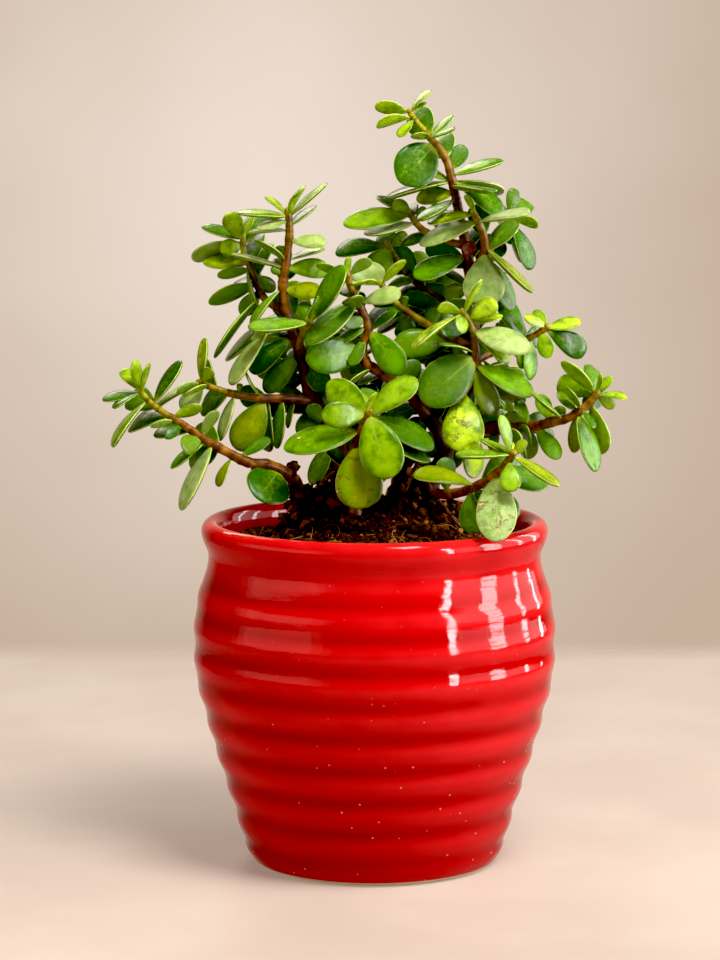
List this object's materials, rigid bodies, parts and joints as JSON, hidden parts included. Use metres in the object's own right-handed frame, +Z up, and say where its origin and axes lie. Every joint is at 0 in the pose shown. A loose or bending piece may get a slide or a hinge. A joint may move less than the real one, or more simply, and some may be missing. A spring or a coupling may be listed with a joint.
{
  "type": "potted jade plant",
  "caption": "Small bushy jade plant with fleshy paired leaves on brown stems, in a round glazed pot with horizontal ribs and a rolled rim.",
  "frame": {"origin": "centre of the pot's flat underside", "axes": "+Z up, +X to the viewer's right in the picture, +Y away from the viewer"},
  "size_m": [0.1996, 0.1414, 0.2969],
  "materials": {
    "red_glaze": "glossy red glaze over a fired clay body",
    "potting_soil": "dark, loose and fibrous",
    "jade_leaf": "waxy satin, fleshy",
    "bark": "brown stem skin, slightly glossy on young wood"
  },
  "bodies": {
    "root": {"pot": "red_glaze", "soil": "potting_soil", "right_leader": "jade_leaf", "left_leader": "jade_leaf", "left_low_branch": "jade_leaf", "front_rosette": "jade_leaf", "left_upper_branch": "jade_leaf", "left_side_twig": "jade_leaf", "left_front_shoot": "jade_leaf", "left_rear_twig": "jade_leaf", "centre_shoot": "jade_leaf", "centre_twig": "jade_leaf", "right_front_crown": "jade_leaf", "right_branch": "jade_leaf", "right_front_rosette": "jade_leaf", "right_middle_twig": "jade_leaf", "top_right_crown": "jade_leaf", "top_right_twig": "jade_leaf", "top_left_crown": "jade_leaf", "centre_rear_shoot": "jade_leaf", "left_back_shoot": "jade_leaf", "middle_back_shoot": "jade_leaf", "right_back_shoot": "jade_leaf", "low_back_shoot": "jade_leaf"}
  },
  "joints": []
}
